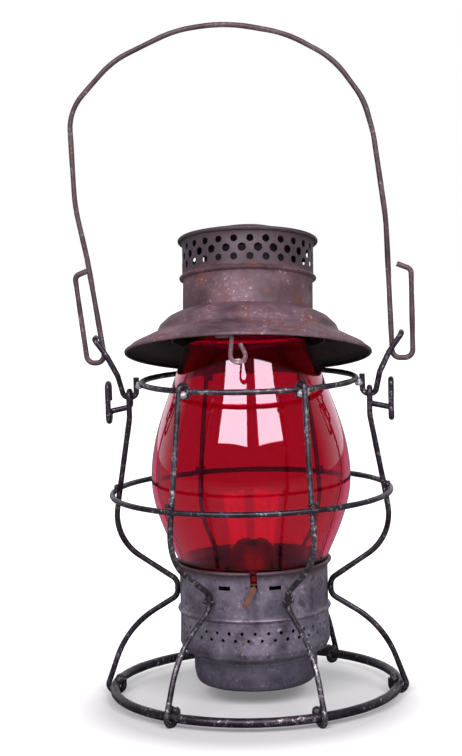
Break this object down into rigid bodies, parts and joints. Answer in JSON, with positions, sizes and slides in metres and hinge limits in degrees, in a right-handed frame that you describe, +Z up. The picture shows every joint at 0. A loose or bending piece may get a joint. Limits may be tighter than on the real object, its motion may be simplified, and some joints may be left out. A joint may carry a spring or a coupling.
{
  "type": "railroad lantern",
  "caption": "Railroad hand lantern with a wire cage on a ring base, a perforated burner cup, a ruby glass globe, a hinged lid with a pierced chimney and a wire bail.",
  "frame": {"origin": "on the floor under the lantern's upright axis", "axes": "+Z up; the front, with the latch and the thumb piece, looks along -Y; the bail's ears lie on the X axis"},
  "size_m": [0.1944, 0.1692, 0.3847],
  "materials": {
    "cage_steel": "dark weathered wire with worn bright spots",
    "solder": "dull solder",
    "tin_plate": "dulled tinned sheet with dark blotches and a little rust",
    "lid_steel": "rusted brown sheet with worn speckles",
    "bail_steel": "rusted brown wire with worn speckles",
    "brass": "dull brass",
    "copper": "dull coppery metal",
    "ruby_glass": "clear ruby glass, polished",
    "cotton": "woven cotton"
  },
  "bodies": {
    "cage": {"base_ring": "cage_steel", "middle_ring": "cage_steel", "top_ring": "cage_steel", "guard_left": "cage_steel", "guard_right": "cage_steel", "guard_front_left": "cage_steel", "guard_front_right": "cage_steel", "guard_back_left": "cage_steel", "guard_back_right": "cage_steel", "ear_left": "cage_steel", "ear_right": "cage_steel", "solder_joints": "solder", "burner_cup": "tin_plate", "well": "tin_plate", "fount": "tin_plate", "fount_collar": "brass", "burner_plate": "brass", "burner_body": "brass", "wick_tube": "brass", "burner_cone": "brass", "globe": "ruby_glass"},
    "lid": {"lid_dome": "lid_steel", "chimney": "lid_steel", "chimney_cap": "lid_steel", "draft_tube": "lid_steel", "lid_collar": "lid_steel", "hinge_strap": "lid_steel", "lid_rivets": "lid_steel", "latch_bracket": "lid_steel"},
    "latch": {"latch_loop": "lid_steel"},
    "bail": {"bail": "bail_steel"},
    "shaft": {"wick_shaft": "brass", "thumb_lever": "copper"},
    "wick": {"wick": "cotton"}
  },
  "joints": [
    {"name": "lid_hinge", "type": "hinge", "parent": "cage", "child": "lid", "pos_m": [0, 0.0611, 0.1828], "axis": [-1, 0, 0], "range_deg": [-14.3, 90]},
    {"name": "latch_swing", "type": "hinge", "parent": "lid", "child": "latch", "pos_m": [0, -0.06082, 0.21419], "axis": [-1, 0, 0], "range_deg": [-18, 60]},
    {"name": "bail_swing", "type": "hinge", "parent": "cage", "child": "bail", "pos_m": [0, 0, 0.194], "axis": [-1, 0, 0], "range_deg": [0, 135]},
    {"name": "wick_shaft_turn", "type": "hinge", "parent": "cage", "child": "shaft", "pos_m": [0.0036, 0, 0.0708], "axis": [0, 1, 0], "range_deg": [-132, 88]},
    {"name": "wick_rise", "type": "slide", "parent": "cage", "child": "wick", "axis": [0, 0, 1], "range_m": [-0.006, 0.004]}
  ],
  "couplings": [
    {"joint": "wick_rise", "follows": "wick_shaft_turn", "m_per_rad": 0.0026}
  ]
}
